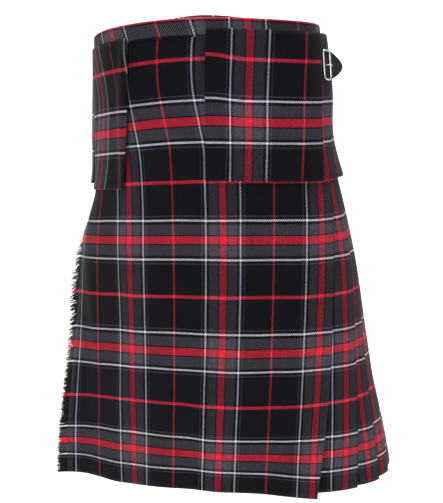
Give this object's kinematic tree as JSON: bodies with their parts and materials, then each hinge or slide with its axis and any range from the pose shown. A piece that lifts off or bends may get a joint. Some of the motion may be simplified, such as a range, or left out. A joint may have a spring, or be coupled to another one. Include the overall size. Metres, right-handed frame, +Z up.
{
  "type": "scottish kilt",
  "caption": "Knee-length tartan kilt in worn form: flat front aprons with a frayed edge, knife pleats, waistband, a short upper fold, and a leather strap and buckle at the left hip.",
  "frame": {"origin": "middle of the waist opening, at the level of the top edge in front", "axes": "+Z up the body, -Y to the front, +X to the wearer's left, where the buckle is"},
  "size_m": [0.4851, 0.3088, 0.6465],
  "materials": {
    "tartan_cloth": "woven wool twill",
    "tartan_upper_fold": "woven wool twill",
    "fringe_yarn": "loose wool yarn",
    "strap_leather": "smooth, slightly glossy",
    "buckle_metal": "polished"
  },
  "bodies": {
    "root": {"over_apron": "tartan_cloth", "under_apron": "tartan_cloth", "pleats_left_hip": "tartan_cloth", "pleats_back": "tartan_cloth", "pleats_right_hip": "tartan_cloth", "waistband": "tartan_cloth", "upper_fold_front_left": "tartan_upper_fold", "upper_fold_left_back": "tartan_upper_fold", "upper_fold_right_back": "tartan_upper_fold", "upper_fold_front_right": "tartan_upper_fold", "apron_fringe": "fringe_yarn", "hip_strap": "strap_leather", "hip_buckle_tab": "strap_leather", "hip_buckle_frame": "buckle_metal", "hip_buckle_prong": "buckle_metal"}
  },
  "joints": []
}
